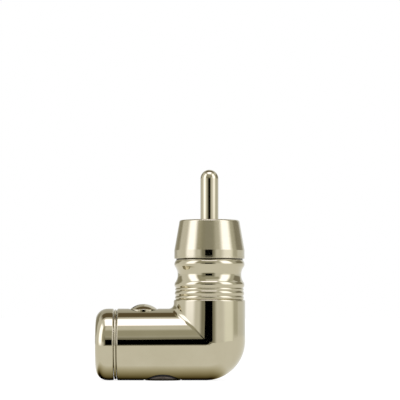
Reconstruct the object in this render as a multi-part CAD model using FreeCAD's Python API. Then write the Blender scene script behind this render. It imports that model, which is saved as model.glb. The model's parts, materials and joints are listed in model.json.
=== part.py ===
import FreeCAD, Part
import math
import os

# Right-angle phono plug with a locking collar, in millimetres.
# The pin points along +Z, the arm along -X, and the origin is on the pin's axis at the collar's front face.
PLUG_R = 6.35                       # outside of both arms of the elbow
PIN_R = 1.6                         # standard phono pin
PIN_OUT = 9.0                       # pin ahead of the collar's face
STEM_R = 1.0                        # pin's stem behind its shoulder
STEM_BELOW_TAG = 2.3
STEM_PITCH = 0.4
NUT_FLATS = 3.6                     # pin nut across its flats
NUT_HEIGHT = 1.6
ARM_Z = -22.1                       # height of the arm's axis
WALL_BORE_R = 4.4                   # arm's bore
RISER_BORE_R = 4.0                  # bore up to the neck
SHELL_TOP = ARM_Z + 7.95            # elbow's upper edge
SHELL_END = 16.4                    # arm's end face, out along the arm
ARM_BORE_END = -3.2                 # blind end of the arm's bore, past the crossing
RUN_GAP = 0.05                      # radial gap of a running fit
EDGE = 0.15                         # broken edge
OVER = 1.0                          # how far cutters run past a face
THREAD_DEPTH = 0.2
ARM_EDGE = 0.25                     # rounding of the arm's end
RISER_EDGE = 0.3                    # rounding of the riser's upper edge
INNER_FILLET = 0.9                  # blend along the mitre inside the bend
BEND_R = 0.65                       # bend radius of the shell's axis in the outer corner

# front: ground sleeve, collar and insulators
SLEEVE_IN_R = 4.15                  # takes the 8.3 mm ground ring of a socket
SLEEVE_OUT_R = 4.75
SLEEVE_THREAD_R = 5.0
SLEEVE_LEDGE_R = 3.2
WELL_Z = -6.0                       # front insulator's face
LEDGE_TOP = WELL_Z - 1.4
LEDGE_LOW = LEDGE_TOP - 3.2
FINGER_ROOT = -4.4
FINGER_SLOT = 0.6
NECK_TOP = -7.05
COLLAR_LOW = NECK_TOP + 0.15        # gap that the collar's lower limit uses up
COLLAR_NOSE_R = 5.38
COLLAR_HEM_R = 6.25
COLLAR_HEM = 1.5                    # straight band at the collar's lower edge
COLLAR_BORE_R = 4.9
COLLAR_THREAD_TOP = -3.4
COLLAR_PITCH = 0.5
COLLAR_NOSE_EDGE = 0.4
CORD_R = 0.25                       # half thickness of the collar's ring
CORD_Z = -2.6
CORD_PATH_R = SLEEVE_OUT_R + RUN_GAP + CORD_R

# neck
SPIGOT_R = 5.0
SPIGOT_LEN = 4.0
SHIELD_TAG_THICK = 0.2
SPIGOT_LOW = SHELL_TOP - SPIGOT_LEN
NECK_THREAD_R = 4.7
NECK_BORE_R = 3.95
RIDGE_IN_R = 5.1                    # ridge on the neck that closes the gap under the collar
RIDGE_OUT_R = 5.85
RIDGE_TOP = COLLAR_LOW + 0.03
RECESS_R = 5.97                     # recess for it in the collar
RECESS_TOP = COLLAR_LOW + 0.2
GROOVE_R = 6.0                      # where two ribs meet
COVE_R = 5.65
COVE_TOP = -8.5
COVE_LOW = -10.95
RIB_EDGES = (COVE_LOW, -12.1, -12.6, -13.5, SHELL_TOP)
RIB_RISE = 0.19                     # height of a rib against its width

# stack behind the insulators
BACK_LOW = LEDGE_LOW - 1.6          # rear insulator's back
WASHER_LOW = BACK_LOW - 0.3
TAG_LOW = WASHER_LOW - 0.3
TAG_R = 2.2
TAG_HALF_WIDTH = 0.8
TAG_STEP = 3.0                      # where the tag's leg stands off the pin's axis
TAG_Z = ARM_Z - 0.9                 # underside of the tag's foot
TAG_END = -9.6

# arm: clamp screw, port and gland
SCREW_X = -11.7
SCREW_HEAD_R = 2.5
SCREW_HEAD_TOP = 7.17
SCREW_HEAD_RIM = 6.25
SCREW_HEAD_LOW = 5.6
SCREW_R = 1.2
SCREW_POCKET_R = 2.7
SCREW_POCKET_FLOOR = 5.0
SCREW_PITCH = 0.45
SADDLE_OUT_R = 3.8
SADDLE_IN_R = 3.3
SADDLE_HALF_ANGLE = 48.0
SADDLE_LEN = 3.0
PORT_X = -8.3
PORT_SEAT_R = 3.5
PORT_HOLE_R = 2.75
PORT_FLOOR = 5.2
PORT_FACE = PLUG_R                  # flush with the lowest line of the arm
PLUG_FLANGE_R = 3.25
PLUG_FLANGE_LOW = 5.5
PLUG_BOSS_R = 2.68
PLUG_BOSS_LEN = 1.95
PLUG_PITCH = 0.35
FACE_GAP = 0.05                     # between the end cap, its washer and the arm
NUT_SHOULDER = SHELL_END + 0.55
NUT_END = 20.2
CROWN_R = 6.5                       # barrel shape of the end cap
CROWN_AT = 17.75
CROWN_HALF = 0.6
GLAND_THREAD_R = WALL_BORE_R - 0.08
GLAND_PITCH = 0.5
GLAND_IN = 13.5                     # inner end of the gland's spigot
GLAND_LIP = 1.05                    # wall that keeps the grommet in
GROMMET_R = 3.7
CABLE_R = 3.1

UP = FreeCAD.Vector(0, 0, 1)
ALONG_X = FreeCAD.Vector(1, 0, 0)
ALONG_Y = FreeCAD.Vector(0, 1, 0)
CENTRE = FreeCAD.Vector(0, 0, 0)
CROSSING = FreeCAD.Vector(0, 0, ARM_Z)


def at(r, z):
    return FreeCAD.Vector(r, 0, z)


def turn(r, z, radius, start, end):
    """Steps of an arc about (r, z): its first point, then a (via, last) pair. Angles in degrees."""
    angles = [math.radians(a) for a in (start, (start + end) / 2, end)]
    first, via, last = [(r + radius * math.cos(a), z + radius * math.sin(a)) for a in angles]
    return [first, (via, last)]


def outline(steps):
    """Closed face in the XZ plane; a step is a point (a line to it) or a (via, end) pair (an arc to it)."""
    here = steps[0]
    edges = []
    for step in steps[1:] + [steps[0]]:
        if isinstance(step[0], tuple):
            via, end = step
            edges.append(Part.Arc(at(*here), at(*via), at(*end)).toShape())
        else:
            end = step
            if math.dist(here, end) > 1e-6:
                edges.append(Part.makeLine(at(*here), at(*end)))
        here = end
    return Part.Face(Part.Wire(edges))


def spin(steps):
    """Solid of revolution about the Z axis from an (r, z) outline."""
    return outline(steps).revolve(CENTRE, UP, 360)


def disc(radius, low, high, hole=0.0):
    solid = Part.makeCylinder(radius, high - low, at(0, low))
    if hole:
        solid = solid.cut(Part.makeCylinder(hole, high - low, at(0, low)))
    return solid


def box(x, y, z):
    """Block between (low, high) pairs."""
    return Part.makeBox(x[1] - x[0], y[1] - y[0], z[1] - z[0], FreeCAD.Vector(x[0], y[0], z[0]))


def thread(root, crest, low, high, pitch):
    """Outline points of thread rings, going up from low to high."""
    points = []
    for i in range(int((high - low) / pitch + 1e-6)):
        foot = low + i * pitch
        points += [(root, foot), (crest, foot + 0.4 * pitch), (crest, foot + 0.6 * pitch)]
    return points + [(root, high)]


def on_arm(shape):
    """From its own axis, +Z outwards, to the arm's axis, -X outwards."""
    shape.rotate(CENTRE, ALONG_Y, -90)
    shape.translate(CROSSING)
    return shape


def on_top(shape, x):
    shape.translate(FreeCAD.Vector(x, 0, ARM_Z))
    return shape


def underneath(shape, x):
    shape.rotate(CENTRE, ALONG_X, 180)
    return on_top(shape, x)


def slot(width, depth, face, reach, angle=0.0):
    """Screwdriver slot across a face."""
    cutter = box((-reach, reach), (-width / 2, width / 2), (face - depth, face + 1))
    cutter.rotate(CENTRE, UP, angle)
    return cutter


def round_bar(length, edge):
    """Solid of the shell's radius from the crossing outwards, with a rounded end."""
    return spin([(0, 0), (PLUG_R, 0)] + turn(PLUG_R - edge, length - edge, edge, 0, 90) + [(0, length)])


def bend_corner():
    """The shell's section turned a quarter about an axis just inside the crossing."""
    section = Part.Face(Part.Wire(Part.makeCircle(PLUG_R, at(0, BEND_R), UP)))
    half = section.common(box((-BEND_R, PLUG_R), (-PLUG_R, PLUG_R), (0, PLUG_R)))
    return half.Faces[0].revolve(at(-BEND_R, BEND_R), ALONG_Y, 90)


def elbow_outside():
    """Two equal cylinders meeting in a blended mitre inside the bend, with a turned corner outside it."""
    riser = round_bar(SHELL_TOP - ARM_Z, RISER_EDGE)
    riser.translate(CROSSING)
    body = on_arm(round_bar(SHELL_END, ARM_EDGE)).fuse(riser).removeSplitter()
    ellipses = [edge for edge in body.Edges if not edge.Degenerated and isinstance(edge.Curve, Part.Ellipse)]
    mitre = [edge for edge in ellipses if edge.BoundBox.XMin < -BEND_R]
    body = body.makeFillet(INNER_FILLET, mitre)
    reach = 2 * PLUG_R
    outer = box((-BEND_R, reach), (-reach, reach), (-reach, BEND_R))
    corner = bend_corner()
    for shape in (outer, corner):
        shape.translate(CROSSING)
    return body.cut(outer).fuse(corner).removeSplitter()


def elbow_housing():
    body = elbow_outside()
    body = body.cut(on_arm(disc(WALL_BORE_R, ARM_BORE_END, SHELL_END + OVER)))
    body = body.cut(disc(RISER_BORE_R, ARM_Z, SHELL_TOP + OVER))
    body = body.cut(disc(SPIGOT_R, SPIGOT_LOW - SHIELD_TAG_THICK, SHELL_TOP + OVER))
    for cutter in (disc(SCREW_POCKET_R, SCREW_POCKET_FLOOR, PLUG_R + OVER), disc(SCREW_R + RUN_GAP, 0, PLUG_R)):
        body = body.cut(on_top(cutter, SCREW_X))
    for cutter in (disc(PORT_SEAT_R, PORT_FLOOR, PLUG_R + OVER), disc(PORT_HOLE_R, 0, PLUG_R)):
        body = body.cut(underneath(cutter, PORT_X))
    return body


def rib(high, low):
    """Arc of a rounded rib of the neck, from one groove down to the next."""
    return ((GROOVE_R + RIB_RISE * (high - low), (high + low) / 2), (GROOVE_R, low))


def ribbed_neck():
    """Rounded ribs with a wide cove below the first, a low ridge on top and a plain spigot below."""
    first_top = NECK_TOP - EDGE
    cove = ((COVE_R, (COVE_TOP + COVE_LOW) / 2), (GROOVE_R, COVE_LOW))
    outside = [(GROOVE_R, NECK_TOP), (GROOVE_R, first_top), rib(first_top, COVE_TOP), cove]
    outside += [rib(high, low) for high, low in zip(RIB_EDGES, RIB_EDGES[1:])]
    spigot = [(SPIGOT_R, SHELL_TOP), (SPIGOT_R, SPIGOT_LOW), (NECK_BORE_R, SPIGOT_LOW)]
    thread_low = LEDGE_LOW - FACE_GAP
    bore = [(NECK_BORE_R, thread_low), (NECK_THREAD_R, thread_low), (NECK_THREAD_R, NECK_TOP)]
    ridge = [(RIDGE_IN_R, NECK_TOP), (RIDGE_IN_R, RIDGE_TOP), (RIDGE_OUT_R, RIDGE_TOP), (RIDGE_OUT_R, NECK_TOP)]
    return spin(bore + ridge + outside + spigot)


def locking_collar():
    """Tapered sleeve with a straight hem, an internal thread and a groove for its ring."""
    taper_low = COLLAR_LOW + COLLAR_HEM
    bevel = EDGE / 2
    outside = [(COLLAR_HEM_R - bevel, COLLAR_LOW), (COLLAR_HEM_R, COLLAR_LOW + bevel), (COLLAR_HEM_R, taper_low)]
    outside += turn(COLLAR_NOSE_R - COLLAR_NOSE_EDGE, -COLLAR_NOSE_EDGE, COLLAR_NOSE_EDGE, 0, 90)
    groove_r = CORD_PATH_R + CORD_R + RUN_GAP
    half = CORD_R + RUN_GAP
    inside = [(COLLAR_BORE_R, 0), (COLLAR_BORE_R, CORD_Z + half)]
    inside += [(groove_r, CORD_Z + half), (groove_r, CORD_Z - half), (COLLAR_BORE_R, CORD_Z - half)]
    inside += [(COLLAR_BORE_R, COLLAR_THREAD_TOP)]
    crest = SLEEVE_THREAD_R + 0.08
    root = crest + THREAD_DEPTH
    rings = thread(root, crest, COLLAR_LOW + 0.8 * COLLAR_PITCH, COLLAR_THREAD_TOP, COLLAR_PITCH)
    inside += rings[::-1] + [(root, RECESS_TOP), (RECESS_R, RECESS_TOP), (RECESS_R, COLLAR_LOW)]
    return spin(outside + inside)


def collar_o_ring():
    return spin(turn(CORD_PATH_R, CORD_Z, CORD_R, 0, 180) + turn(CORD_PATH_R, CORD_Z, CORD_R, 180, 360)[1:])


def ground_sleeve():
    """Slotted tube round the pin, threaded outside for the collar and below for the neck."""
    foot = NECK_THREAD_R - RUN_GAP
    flange_top = NECK_TOP + THREAD_DEPTH
    thread_top = COLLAR_THREAD_TOP - THREAD_DEPTH
    mouth = -2 * RUN_GAP
    outside = thread(foot - THREAD_DEPTH, foot, LEDGE_LOW, NECK_TOP, COLLAR_PITCH)
    outside += [(SLEEVE_THREAD_R, NECK_TOP), (SLEEVE_THREAD_R, flange_top)]
    outside += thread(SLEEVE_THREAD_R - THREAD_DEPTH, SLEEVE_THREAD_R, flange_top, thread_top, COLLAR_PITCH)
    outside += [(SLEEVE_OUT_R, COLLAR_THREAD_TOP), (SLEEVE_OUT_R, mouth - EDGE), (SLEEVE_OUT_R - EDGE, mouth)]
    inside = [(SLEEVE_IN_R + EDGE, mouth), (SLEEVE_IN_R, mouth - EDGE), (SLEEVE_IN_R, LEDGE_TOP)]
    inside += [(SLEEVE_LEDGE_R, LEDGE_TOP), (SLEEVE_LEDGE_R, LEDGE_LOW)]
    sleeve = spin(outside + inside)
    half = FINGER_SLOT / 2
    width, span, height = (-half, half), (-PLUG_R, PLUG_R), (FINGER_ROOT, OVER)
    return sleeve.cut(box(span, width, height)).cut(box(width, span, height))


def insulator(disc_r, disc_low, disc_high, boss_low, boss_high):
    """Disc with a boss, and a hole for the pin's stem."""
    boss = disc(SLEEVE_LEDGE_R - RUN_GAP, boss_low, boss_high)
    hole = disc(STEM_R + RUN_GAP, min(disc_low, boss_low), max(disc_high, boss_high))
    return disc(disc_r, disc_low, disc_high).fuse(boss).cut(hole)


def centre_pin():
    """Round-nosed pin with a shoulder on the front insulator and a threaded stem behind."""
    nose_z = PIN_OUT - PIN_R
    stem_end = TAG_LOW - STEM_BELOW_TAG
    thread_end = TAG_LOW + STEM_PITCH
    stem = [(0, stem_end), (STEM_R - EDGE, stem_end)]
    stem += thread(STEM_R - EDGE, STEM_R, stem_end + EDGE, thread_end, STEM_PITCH)
    stem += [(STEM_R, thread_end + EDGE), (STEM_R, WELL_Z)]
    return spin(stem + [(PIN_R, WELL_Z)] + turn(0, nose_z, PIN_R, 0, 90))


def pin_nut():
    corner_r = NUT_FLATS / math.sqrt(3)
    low = TAG_LOW - NUT_HEIGHT
    around = [math.radians(60 * i) for i in range(7)]
    corners = [FreeCAD.Vector(corner_r * math.cos(a), corner_r * math.sin(a), low) for a in around]
    hexagon = Part.Face(Part.makePolygon(corners)).extrude(UP * NUT_HEIGHT)
    return hexagon.cut(disc(STEM_R + RUN_GAP, low, TAG_LOW))


def solder_tag():
    """Ring under the nut's washer, a leg down the side and a foot along the arm with a wire hole."""
    thick = 0.3
    width = (-TAG_HALF_WIDTH, TAG_HALF_WIDTH)
    eye = disc(TAG_R, TAG_LOW, TAG_LOW + thick)
    neck = box((-TAG_STEP, 0), width, (TAG_LOW, TAG_LOW + thick))
    leg = box((-TAG_STEP, thick - TAG_STEP), width, (TAG_Z, TAG_LOW + thick))
    foot = box((TAG_END, thick - TAG_STEP), width, (TAG_Z, TAG_Z + thick))
    strip = eye.fuse(neck).fuse(leg).fuse(foot).removeSplitter()
    strip = strip.cut(disc(STEM_R + 0.05, TAG_LOW - 1, TAG_LOW + 1))
    return strip.cut(on_top(disc(0.45, -2, 2), TAG_END + 1.1))


def shield_tag():
    """Flat ring under the neck's spigot with a tongue along the arm and a wire hole."""
    low, high = SPIGOT_LOW - 0.2, SPIGOT_LOW
    ring = disc(SPIGOT_R - 0.05, low, high)
    tongue = box((-7.5, -SPIGOT_R + 0.5), (-0.8, 0.8), (low, high))
    tag = ring.fuse(tongue).removeSplitter().cut(disc(RISER_BORE_R, low - 1, high + 1))
    return tag.cut(on_top(disc(0.4, 0, 5), -6.8))


def clamp_screw():
    rim_r = SCREW_HEAD_R - EDGE / 2
    sag = SCREW_HEAD_TOP - SCREW_HEAD_RIM
    crown = (rim_r ** 2 + sag ** 2) / (2 * sag)
    spread = math.degrees(math.asin(rim_r / crown))
    head = [(SCREW_HEAD_R, SCREW_HEAD_LOW), (SCREW_HEAD_R, SCREW_HEAD_RIM - EDGE / 2)]
    head += turn(0, SCREW_HEAD_TOP - crown, crown, 90 - spread, 90)
    tip = SADDLE_OUT_R + 0.1
    shank = [(0, tip), (SCREW_R - 2 * EDGE, tip)]
    shank += thread(SCREW_R - THREAD_DEPTH, SCREW_R, tip + THREAD_DEPTH, SCREW_HEAD_LOW - THREAD_DEPTH, SCREW_PITCH)
    screw = spin(shank + [(SCREW_R - THREAD_DEPTH, SCREW_HEAD_LOW)] + head)
    return on_top(screw.cut(slot(0.5, 0.7, SCREW_HEAD_TOP, 3, 25)), SCREW_X)


def clamp_saddle():
    """Curved plate that presses on the cable under the screw's tip."""
    ring = disc(SADDLE_OUT_R, 0, SADDLE_LEN, SADDLE_IN_R)
    reach = 6
    a = math.radians(SADDLE_HALF_ANGLE)
    far = reach * math.tan(a)
    sides = [FreeCAD.Vector(reach, -far, 0), FreeCAD.Vector(reach, far, 0)]
    wedge = Part.Face(Part.makePolygon([CENTRE] + sides + [CENTRE]))
    plate = ring.common(wedge.extrude(FreeCAD.Vector(0, 0, SADDLE_LEN)))
    plate.translate(at(0, -SCREW_X - SADDLE_LEN / 2))
    return on_arm(plate)


def port_plug():
    """Flanged screw plug with a screwdriver slot in its face."""
    rim = 2 * EDGE
    boss_end = PORT_FACE - PLUG_BOSS_LEN
    body = [(0, boss_end), (PLUG_BOSS_R - rim, boss_end)]
    body += thread(PLUG_BOSS_R - EDGE, PLUG_BOSS_R, boss_end + EDGE, PLUG_FLANGE_LOW, PLUG_PITCH)
    body += [(PLUG_FLANGE_R, PLUG_FLANGE_LOW)] + turn(PLUG_FLANGE_R - rim, PORT_FACE - rim, rim, 0, 90)
    plug = spin(body + [(0, PORT_FACE)])
    return underneath(plug.cut(slot(0.8, 0.45, PORT_FACE, 2.2)), PORT_X)


def port_seal():
    ring = disc(PLUG_FLANGE_R, PORT_FLOOR + RUN_GAP, PLUG_FLANGE_LOW - RUN_GAP, PLUG_BOSS_R + RUN_GAP)
    return underneath(ring, PORT_X)


def crowned_side(low, high):
    """Barrel-shaped outside of the end cap from its high end down, with tangent roundings at both ends."""
    lean = math.asin(CROWN_HALF / CROWN_R)
    tilt = math.degrees(lean)
    steps = []
    for end, angles in ((high, (90, tilt)), (low, (-tilt, -90))):
        edge = (abs(end - CROWN_AT) - CROWN_HALF) / (1 - math.sin(lean))
        side = math.copysign(CROWN_R - edge, end - CROWN_AT)
        centre_r = PLUG_R - CROWN_R + abs(side) * math.cos(lean)
        steps.append(turn(centre_r, CROWN_AT + side * math.sin(lean), edge, *angles))
    crown = turn(PLUG_R - CROWN_R, CROWN_AT, CROWN_R, tilt, -tilt)
    return steps[0] + crown[1:] + steps[1][1:]


def gland_nut():
    """Round end cap with a cable hole and a threaded spigot into the arm."""
    bore, hole = GROMMET_R + RUN_GAP, CABLE_R + 2 * RUN_GAP
    lip = NUT_END - GLAND_LIP
    inside = [(bore, GLAND_IN), (bore, lip), (hole, lip)]
    inside += [(hole, NUT_END - 2 * EDGE), (hole + 2 * EDGE, NUT_END)]
    root = GLAND_THREAD_R - THREAD_DEPTH
    thread_end = NUT_SHOULDER - 2 * THREAD_DEPTH
    rings = thread(root, GLAND_THREAD_R, GLAND_IN, thread_end, GLAND_PITCH)
    return on_arm(spin(inside + crowned_side(NUT_SHOULDER, NUT_END) + [(root, NUT_SHOULDER)] + rings[::-1]))


def cable_grommet():
    """Rubber sleeve inside the gland nut, with a rounded lead-in at both ends."""
    low, high, lip = GLAND_IN + 2 * EDGE, NUT_END - GLAND_LIP, 0.2
    inside = turn(CABLE_R + lip, low + lip, lip, 270, 180) + turn(CABLE_R + lip, high - lip, lip, 180, 90)
    return on_arm(spin(inside + [(GROMMET_R, high), (GROMMET_R, low)]))


def slip_washer():
    low, high = SHELL_END + FACE_GAP, NUT_SHOULDER - FACE_GAP
    rim = (high - low) / 2
    bore = GLAND_THREAD_R + FACE_GAP
    edge = turn(PLUG_R - EDGE - rim, low + rim, rim, -90, 90)
    return on_arm(spin([(bore, low)] + edge + [(bore, high)]))


PIECES = {
    "elbow_housing": elbow_housing(),
    "ribbed_neck": ribbed_neck(),
    "locking_collar": locking_collar(),
    "collar_o_ring": collar_o_ring(),
    "ground_sleeve": ground_sleeve(),
    "front_insulator": insulator(SLEEVE_IN_R - 0.03, LEDGE_TOP, WELL_Z, LEDGE_TOP - 1.6, LEDGE_TOP),
    "rear_insulator": insulator(NECK_BORE_R - 0.1, BACK_LOW, LEDGE_LOW, LEDGE_LOW, LEDGE_TOP - 1.65),
    "centre_pin": centre_pin(),
    "pin_washer": disc(TAG_R, WASHER_LOW, BACK_LOW, STEM_R + 0.05),
    "solder_tag": solder_tag(),
    "pin_nut": pin_nut(),
    "insulating_liner": disc(NECK_BORE_R - 0.05, SPIGOT_LOW + 0.05, BACK_LOW, NECK_BORE_R - 0.45),
    "shield_tag": shield_tag(),
    "clamp_screw": clamp_screw(),
    "clamp_saddle": clamp_saddle(),
    "port_plug": port_plug(),
    "port_seal": port_seal(),
    "gland_nut": gland_nut(),
    "cable_grommet": cable_grommet(),
    "slip_washer": slip_washer(),
}

os.makedirs("parts", exist_ok=True)
for name, shape in PIECES.items():
    shape.exportStep("parts/" + name + ".step")
    print(name, shape.isValid(), len(shape.Solids), round(shape.Volume, 2), len(shape.Faces))
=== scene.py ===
import json
import math

import bpy
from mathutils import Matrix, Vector

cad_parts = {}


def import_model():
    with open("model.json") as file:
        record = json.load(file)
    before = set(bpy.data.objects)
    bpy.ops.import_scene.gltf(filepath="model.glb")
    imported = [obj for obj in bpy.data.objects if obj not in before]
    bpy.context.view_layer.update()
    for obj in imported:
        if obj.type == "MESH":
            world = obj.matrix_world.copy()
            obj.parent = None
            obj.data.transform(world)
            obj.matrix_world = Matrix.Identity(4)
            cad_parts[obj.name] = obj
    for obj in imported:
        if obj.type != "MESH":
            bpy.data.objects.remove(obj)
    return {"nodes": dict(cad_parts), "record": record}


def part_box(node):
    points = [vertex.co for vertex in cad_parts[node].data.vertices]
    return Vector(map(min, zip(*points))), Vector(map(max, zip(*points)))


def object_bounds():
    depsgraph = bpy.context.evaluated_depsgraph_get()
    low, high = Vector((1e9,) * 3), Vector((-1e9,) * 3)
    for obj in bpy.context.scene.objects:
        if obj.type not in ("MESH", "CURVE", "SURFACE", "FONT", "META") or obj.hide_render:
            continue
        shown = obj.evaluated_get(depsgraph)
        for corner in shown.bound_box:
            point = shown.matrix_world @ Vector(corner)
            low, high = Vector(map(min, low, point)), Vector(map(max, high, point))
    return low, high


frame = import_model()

CAD_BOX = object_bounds()
MM = 0.001

# Sizes taken from the frame, in metres.
SHELL_LOW, SHELL_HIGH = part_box("elbow_housing")
SHELL_R = SHELL_HIGH.y
ARM_Z = SHELL_LOW.z + SHELL_R
FLOOR_Z = CAD_BOX[0].z
NODES = frame["nodes"]
COLLAR_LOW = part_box("locking_collar")[0].z
NECK_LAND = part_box("ribbed_neck")[1].z - 0.25 * MM      # just under the neck's top face
HEM_LOW = COLLAR_LOW + 0.45 * MM    # polished part of the collar's straight band
HEM_HIGH = COLLAR_LOW + 1.4 * MM
HEM_SOFT = 0.05 * MM
PORT_LOW, PORT_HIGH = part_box("port_plug")
PORT_X = (PORT_LOW.x + PORT_HIGH.x) / 2
PORT_SEAT_R = (PORT_HIGH.x - PORT_LOW.x) / 2 + 0.25 * MM
SCREW_LOW, SCREW_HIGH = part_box("clamp_screw")
SCREW_X = (SCREW_LOW.x + SCREW_HIGH.x) / 2
SCREW_POCKET_R = (SCREW_HIGH.x - SCREW_LOW.x) / 2 + 0.2 * MM
WALL_SKIN = 0.02 * MM               # how far the painted shade in a recess reaches past its wall


# ---------------------------------------------------------------- node helpers

def new_material(name):
    material = bpy.data.materials.new(name)
    material.use_nodes = True
    tree = material.node_tree
    tree.nodes.clear()
    return material, tree


def add(tree, kind, **settings):
    """A node with its settings; a name with a leading underscore sets an input socket."""
    node = tree.nodes.new(kind)
    for name, value in settings.items():
        if name.startswith("_"):
            node.inputs[name[1:].replace("_", " ")].default_value = value
        else:
            setattr(node, name, value)
    return node


def link(tree, source, target):
    tree.links.new(source, target)


def object_point(tree, scale=(1, 1, 1)):
    """Object coordinates stretched by a scale, which are metres on the row frame."""
    coordinates = add(tree, "ShaderNodeTexCoord")
    mapping = add(tree, "ShaderNodeMapping")
    mapping.inputs["Scale"].default_value = scale
    link(tree, coordinates.outputs["Object"], mapping.inputs["Vector"])
    return mapping.outputs["Vector"]


def noise(tree, scale, detail=3.0, stretch=(1, 1, 1), roughness=0.5):
    node = add(tree, "ShaderNodeTexNoise", _Scale=scale, _Detail=detail, _Roughness=roughness)
    link(tree, object_point(tree, stretch), node.inputs["Vector"])
    return node.outputs["Fac"]


def remap(tree, value, low, high, to_low, to_high):
    node = add(tree, "ShaderNodeMapRange")
    for i, number in enumerate((low, high, to_low, to_high), start=1):
        node.inputs[i].default_value = number
    link(tree, value, node.inputs[0])
    return node.outputs[0]


def maths(tree, operation, first, second=None):
    """Math node whose inputs are sockets or numbers."""
    node = add(tree, "ShaderNodeMath", operation=operation)
    for socket, value in zip(node.inputs, (first, second)):
        if value is None:
            continue
        if isinstance(value, (int, float)):
            socket.default_value = value
        else:
            link(tree, value, socket)
    return node.outputs[0]


def window(tree, value, low, high, soft):
    """1 between two values, falling to 0 over a soft edge outside them."""
    middle, half = (low + high) / 2, (high - low) / 2
    away = maths(tree, "ABSOLUTE", maths(tree, "SUBTRACT", value, middle))
    node = add(tree, "ShaderNodeMapRange", interpolation_type="SMOOTHSTEP")
    for i, number in enumerate((half, half + soft, 1, 0), start=1):
        node.inputs[i].default_value = number
    link(tree, away, node.inputs[0])
    return node.outputs[0]


def split_point(tree):
    point = add(tree, "ShaderNodeTexCoord").outputs["Object"]
    split = add(tree, "ShaderNodeSeparateXYZ")
    link(tree, point, split.inputs[0])
    return split.outputs


def mix_colour(tree, factor, first, second):
    node = add(tree, "ShaderNodeMix", data_type="RGBA")
    link(tree, factor, node.inputs["Factor"])
    for socket, colour in (("A", first), ("B", second)):
        target = [s for s in node.inputs if s.name == socket and s.type == "RGBA"][0]
        if isinstance(colour, tuple):
            target.default_value = (*colour, 1)
        else:
            link(tree, colour, target)
    return [s for s in node.outputs if s.type == "RGBA"][0]


def shader(tree, metallic=0.0, **inputs):
    node = add(tree, "ShaderNodeBsdfPrincipled", **inputs)
    node.inputs["Metallic"].default_value = metallic
    output = add(tree, "ShaderNodeOutputMaterial")
    link(tree, node.outputs["BSDF"], output.inputs["Surface"])
    return node


def bump(tree, node, height, strength, distance):
    bumper = add(tree, "ShaderNodeBump", _Strength=strength, _Distance=distance)
    link(tree, height, bumper.inputs["Height"])
    link(tree, bumper.outputs["Normal"], node.inputs["Normal"])


# ---------------------------------------------------------------- materials

NICKEL = (0.52, 0.475, 0.340)
NICKEL_DULL = (0.49, 0.445, 0.312)
# Painted shade colour for the neck's top, in the gap under the collar.
GAP_SHADE_COLOUR = (0.045, 0.035, 0.02)
# Painted shade colour for the recesses in the shell.
RECESS_SHADE_COLOUR = (0.02, 0.016, 0.01)


def polished_nickel(name, roughness=0.035, shade_above=None):
    """Bright nickel plate with faint clouds and wipe marks; above a given height a painted shade makes it
    dull and dark.
    """
    material, tree = new_material(name)
    node = shader(tree, 1.0)
    clouds = noise(tree, 260.0, 4.0)
    colour = mix_colour(tree, remap(tree, clouds, 0.35, 0.75, 0, 1), NICKEL, NICKEL_DULL)
    wipes = noise(tree, 900.0, 5.0, (1, 1, 0.2))
    rough = remap(tree, wipes, 0.3, 0.8, roughness * 0.7, roughness * 1.4)
    # Painted shade: above the given height the nickel is painted dark and dull, standing in for the
    # shadow in the gap.
    if shade_above is not None:
        soft = 0.03 * MM
        shade_mask = remap(tree, split_point(tree)[2], shade_above - soft, shade_above + soft, 0, 1)
        colour = mix_colour(tree, shade_mask, colour, GAP_SHADE_COLOUR)
        rough = maths(tree, "MAXIMUM", rough, maths(tree, "MULTIPLY", shade_mask, 0.5))
    link(tree, colour, node.inputs["Base Color"])
    link(tree, rough, node.inputs["Roughness"])
    bump(tree, node, noise(tree, 500.0, 2.0), 0.02, 0.00002)
    return material


def squared_offset(tree, value, centre):
    return maths(tree, "POWER", maths(tree, "SUBTRACT", value, centre), 2.0)


def shell_nickel(name):
    """Polished nickel with painted shade, dull and dark, inside the port's seat and the screw's pocket.
    """
    material = polished_nickel(name)
    tree = material.node_tree
    node = [n for n in tree.nodes if n.type == "BSDF_PRINCIPLED"][0]
    x, y, z = split_point(tree)
    recesses = (
        (PORT_X, PORT_SEAT_R, "LESS_THAN"),
        (SCREW_X, SCREW_POCKET_R, "GREATER_THAN"),
    )
    # Painted shade: the inside of the port's seat and of the screw's pocket is painted dark and dull.
    shade_mask = 0.0
    for centre, radius, side in recesses:
        spread = maths(tree, "ADD", squared_offset(tree, x, centre), squared_offset(tree, y, 0.0))
        within = maths(tree, "LESS_THAN", maths(tree, "SQRT", spread), radius + WALL_SKIN)
        half = maths(tree, side, z, ARM_Z)
        shade_mask = maths(tree, "MAXIMUM", maths(tree, "MULTIPLY", within, half), shade_mask)
    colour, rough = (node.inputs[socket].links[0].from_socket for socket in ("Base Color", "Roughness"))
    shade_mask_rough = maths(tree, "MULTIPLY", shade_mask, 0.6)
    link(tree, mix_colour(tree, shade_mask, colour, RECESS_SHADE_COLOUR), node.inputs["Base Color"])
    link(tree, maths(tree, "MAXIMUM", rough, shade_mask_rough), node.inputs["Roughness"])
    return material


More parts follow.
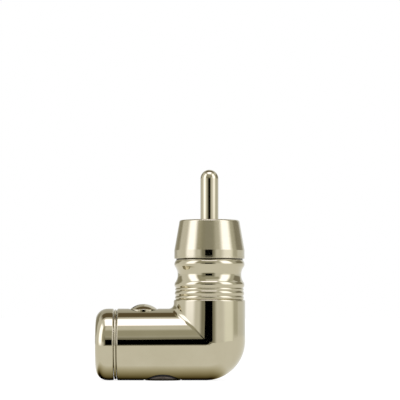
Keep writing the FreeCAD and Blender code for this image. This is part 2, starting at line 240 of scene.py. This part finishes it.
def turned_nickel(name, roughness, band=None):
    """Nickel with fine turning lines round the axis, so the gloss spreads along the axis.

    A band of heights, if given, is polished.
    """
    material, tree = new_material(name)
    node = shader(tree, 1.0, _Anisotropic=0.7, _Anisotropic_Rotation=0.25)
    lines = noise(tree, 60.0, 6.0, (1, 1, 220), 0.7)
    link(tree, mix_colour(tree, lines, NICKEL, NICKEL_DULL), node.inputs["Base Color"])
    rough = remap(tree, lines, 0.2, 0.8, roughness * 0.85, roughness * 1.15)
    if band:
        polish = remap(tree, window(tree, split_point(tree)[2], *band), 0, 1, 1.0, 0.4)
        rough = maths(tree, "MULTIPLY", rough, polish)
    link(tree, rough, node.inputs["Roughness"])
    tangent = add(tree, "ShaderNodeTangent", direction_type="RADIAL", axis="Z")
    link(tree, tangent.outputs["Tangent"], node.inputs["Tangent"])
    bump(tree, node, lines, 0.04, 0.00001)
    return material


def mottled(tree, node, colour_scale, detail, first, second, rough_scale, rough_low, rough_high):
    """Sets a cloudy mix of two colours and an uneven roughness."""
    colour = mix_colour(tree, noise(tree, colour_scale, detail), first, second)
    rough = remap(tree, noise(tree, rough_scale), 0.3, 0.7, rough_low, rough_high)
    link(tree, colour, node.inputs["Base Color"])
    link(tree, rough, node.inputs["Roughness"])
    return colour


def blackened_metal(name):
    """Dark satin plug; painted shade makes it black towards its face and along the rim of its seat."""
    material, tree = new_material(name)
    node = shader(tree, 0.6)
    clouds = mottled(tree, node, 800.0, 4.0, (0.16, 0.13, 0.11), (0.12, 0.10, 0.08), 2200.0, 0.26, 0.36)
    # Painted shade: near-black close to the plug's face and in the gap just under the seat's rim.
    x, _, z = split_point(tree)
    fade = remap(tree, z, PORT_LOW.z + 0.15 * MM, PORT_LOW.z + 0.65 * MM, 0, 1)
    rim_square = maths(tree, "ADD", squared_offset(tree, x, PORT_X), SHELL_R ** 2 - PORT_SEAT_R ** 2)
    rim = maths(tree, "SUBTRACT", ARM_Z, maths(tree, "SQRT", rim_square))
    clear = remap(tree, maths(tree, "SUBTRACT", rim, z), 0.28 * MM, 0.38 * MM, 0, 1)
    light = maths(tree, "MULTIPLY", fade, clear)
    link(tree, mix_colour(tree, light, (0.008, 0.006, 0.005), clouds), node.inputs["Base Color"])
    return material


def plastic(name, colour, roughness):
    """Plastic or rubber with a faint grain."""
    material, tree = new_material(name)
    node = shader(tree, 0.0)
    shade = tuple(0.86 * c for c in colour)
    mottled(tree, node, 700.0, 4.0, colour, shade, 2500.0, roughness * 0.85, roughness * 1.1)
    bump(tree, node, noise(tree, 4000.0, 2.0), 0.08, 0.00002)
    return material


def brass(name):
    material, tree = new_material(name)
    node = shader(tree, 1.0)
    mottled(tree, node, 600.0, 5.0, (0.72, 0.52, 0.24), (0.50, 0.34, 0.15), 1800.0, 0.22, 0.4)
    return material


MATERIALS = {
    "shell_nickel": shell_nickel("shell_nickel_visual"),
    "neck_nickel": polished_nickel("neck_nickel_visual", shade_above=NECK_LAND),
    "gland_nickel": polished_nickel("gland_nickel_visual"),
    "pin_nickel": polished_nickel("pin_nickel_visual"),
    "screw_nickel": polished_nickel("screw_nickel_visual", 0.07),
    "plug_black": blackened_metal("plug_black_visual"),
    "washer_nickel": polished_nickel("washer_nickel_visual", 0.09),
    "collar_satin": turned_nickel("collar_satin_visual", 0.21, (HEM_LOW, HEM_HIGH, HEM_SOFT)),
    "sleeve_nickel": turned_nickel("sleeve_nickel_visual", 0.2),
    "tag_brass": brass("tag_brass_visual"),
    "insulator_white": plastic("insulator_white_visual", (0.86, 0.85, 0.80), 0.5),
    "liner_amber": plastic("liner_amber_visual", (0.55, 0.33, 0.10), 0.3),
    "rubber_black": plastic("rubber_black_visual", (0.02, 0.02, 0.021), 0.6),
}
for entry in frame["record"]["subparts"]:
    mesh = NODES[entry["node"]].data
    mesh.materials.clear()
    mesh.materials.append(MATERIALS[entry["material_slot"]])


# ---------------------------------------------------------------- stage

TENT_R = 0.9
FOCUS = Vector((0, 0, ARM_Z))


def sheet(name, corners, material):
    """One flat stage sheet from its corners, going round."""
    mesh = bpy.data.meshes.new(name)
    mesh.from_pydata(corners, [], [(0, 1, 2, 3)])
    mesh.materials.append(material)
    piece = bpy.data.objects.new(name, mesh)
    bpy.context.scene.collection.objects.link(piece)
    return piece


def level_sheet(name, half, front, height, material):
    corners = [(-half, front, height), (half, front, height), (half, half, height), (-half, half, height)]
    return sheet(name, corners, material)


def only_in_reflections(piece):
    piece.visible_camera = False
    piece.visible_diffuse = False
    piece.visible_shadow = False
    return piece


def floor_material():
    """White sheet lit from below as well, so it blends into the background and keeps a faint shadow."""
    material, tree = new_material("floor_white")
    node = shader(tree, 0.0, _Roughness=0.9, _Specular_IOR_Level=0.0)
    colour = mix_colour(tree, noise(tree, 3.0), (0.30, 0.30, 0.30), (0.29, 0.29, 0.29))
    link(tree, colour, node.inputs["Base Color"])
    node.inputs["Emission Color"].default_value = (1, 1, 1, 1)
    node.inputs["Emission Strength"].default_value = 0.82
    return material


def glowing(tree, colour):
    lamp = add(tree, "ShaderNodeEmission")
    if isinstance(colour, tuple):
        lamp.inputs["Color"].default_value = (*colour, 1)
    else:
        link(tree, colour, lamp.inputs["Color"])
    output = add(tree, "ShaderNodeOutputMaterial")
    link(tree, lamp.outputs["Emission"], output.inputs["Surface"])


SHADE_EDGE = 0.0061                 # where the painted shadow on the mirrored floor starts in front of the arm
SHADE_CORE = 0.0015
MIRRORED_FRONT = -0.100             # the mirrored floor ends here, so the flag can hang below it


def mirrored_floor_material():
    """What polished parts see of the floor: white, with a painted brown shadow right under the arm."""
    material, tree = new_material("floor_in_reflections")
    x, y, _ = split_point(tree)
    across = remap(tree, maths(tree, "ABSOLUTE", y), SHADE_CORE, SHADE_EDGE, 0, 1)
    under = window(tree, x, CAD_BOX[0].x, 0, SHELL_R * 0.8)
    shade = maths(tree, "MULTIPLY", maths(tree, "SUBTRACT", 1.0, across), under)
    light = maths(tree, "SUBTRACT", 1.0, shade)
    colour = add(tree, "ShaderNodeCombineXYZ")
    for i, power in enumerate((1.0, 1.12, 1.6)):
        link(tree, maths(tree, "POWER", light, power), colour.inputs[i])
    glowing(tree, colour.outputs[0])
    return material


def directions(tree):
    """Angles of a point on the tent, in degrees, with 0 on the camera's side.

    pitch turns over the top, yaw turns round to the right, side and rise lean away from those circles.
    """
    unit = add(tree, "ShaderNodeVectorMath", operation="NORMALIZE")
    link(tree, add(tree, "ShaderNodeTexCoord").outputs["Object"], unit.inputs[0])
    split = add(tree, "ShaderNodeSeparateXYZ")
    link(tree, unit.outputs[0], split.inputs[0])
    x, y, z = split.outputs
    front = maths(tree, "MULTIPLY", y, -1.0)
    angles = {
        "pitch": maths(tree, "ARCTAN2", z, front),
        "yaw": maths(tree, "ARCTAN2", x, front),
        "side": maths(tree, "ARCSINE", x),
        "rise": maths(tree, "ARCSINE", z),
    }
    return {name: maths(tree, "MULTIPLY", angle, 180 / math.pi) for name, angle in angles.items()}


# Panels of the tent, painted in this order. Each has two angles with their low, high and soft edge
# in degrees, then its colour and level.
PANELS = (
    ("yaw", 56, 84, 14, "rise", -60, 60, 20, (1.18, 1.20, 1.18)),
    ("yaw", -180, -142, 16, "rise", -60, 60, 20, (0.62, 0.61, 0.56)),
    ("yaw", 88, 98, 12, "rise", -60, 60, 20, (0.70, 0.70, 0.64)),
    ("yaw", 112, 180, 12, "rise", -60, 60, 20, (0.90, 0.91, 0.92)),
    ("pitch", 101, 120, 7, "side", -22, 22, 20, (0.18, 0.14, 0.08)),
    ("yaw", -42, -22, 10, "rise", 12, 70, 8, (0.55, 0.53, 0.43)),
    ("yaw", -150, -128, 12, "rise", 10, 30, 6, (0.38, 0.36, 0.28)),
    ("yaw", 106, 140, 10, "rise", 10, 30, 6, (0.34, 0.32, 0.26)),
    ("yaw", -75, -58, 15, "rise", 8, 46, 14, (2.4, 2.45, 2.9)),
    ("yaw", 50, 69, 15, "rise", 12, 46, 14, (2.4, 2.45, 2.9)),
    ("pitch", 65, 88, 4, "side", -16, 14, 6, (2.5, 2.5, 3.2)),
    ("pitch", 30, 42, 10, "side", -25, 25, 12, (0.55, 0.54, 0.46)),
    ("yaw", -22, 12, 13, "rise", -10, 18, 12, (0.34, 0.33, 0.27)),
)


def tent_material():
    material, tree = new_material("tent")
    angles = directions(tree)
    colour = (0.95, 0.95, 0.95)
    for first, low, high, soft, second, second_low, second_high, second_soft, level in PANELS:
        across = window(tree, angles[first], low, high, soft)
        along = window(tree, angles[second], second_low, second_high, second_soft)
        colour = mix_colour(tree, maths(tree, "MULTIPLY", across, along), colour, level)
    glowing(tree, colour)
    return material


def light_tent():
    """Round tent of soft light with darker gaps, seen only in reflections and by its light."""
    bpy.ops.mesh.primitive_ico_sphere_add(subdivisions=5, radius=TENT_R, location=FOCUS)
    tent = bpy.context.object
    tent.name = "light_tent"
    tent.data.materials.append(tent_material())
    tent.visible_camera = False
    return tent


def camera_flag():
    """Black card between the camera and the plug, which gives the metal its dark line."""
    away, left, right, low, high = 0.300, -0.0801, 0.0486, ARM_Z - 0.0075, ARM_Z + 0.0845
    material, tree = new_material("flag_black")
    glowing(tree, (0.0, 0.0, 0.0))
    corners = [(left, -away, low), (right, -away, low), (right, -away, high), (left, -away, high)]
    return only_in_reflections(sheet("camera_flag", corners, material))


def world():
    background = bpy.data.worlds.new("studio")
    bpy.context.scene.world = background
    background.use_nodes = True
    node = background.node_tree.nodes["Background"]
    node.inputs["Color"].default_value = (1, 1, 1, 1)
    node.inputs["Strength"].default_value = 1.0


world()
floor = level_sheet("floor", 10, -10, FLOOR_Z, floor_material())
floor.visible_glossy = False
mirrored_floor = level_sheet("mirrored_floor", TENT_R, MIRRORED_FRONT, FLOOR_Z, mirrored_floor_material())
only_in_reflections(mirrored_floor)
camera_flag()
light_tent()

# ---------------------------------------------------------------- camera

PIXELS_PER_MM = 5.615
FRAME_PIXELS = 400
SENSOR = 36.0
DISTANCE = 0.400
camera_data = bpy.data.cameras.new("camera")
camera = bpy.data.objects.new("camera", camera_data)
bpy.context.scene.collection.objects.link(camera)
camera_data.sensor_width = SENSOR
camera_data.lens = SENSOR * DISTANCE / (FRAME_PIXELS / PIXELS_PER_MM * MM)
camera.location = (-0.004, -DISTANCE, ARM_Z + 0.005)
aim = Vector((-0.00169, 0, ARM_Z + 0.0257))
camera.rotation_mode = "QUATERNION"
camera.rotation_quaternion = (aim - camera.location).to_track_quat("-Z", "Y")
bpy.context.scene.camera = camera
bpy.context.scene.view_settings.view_transform = "Standard"
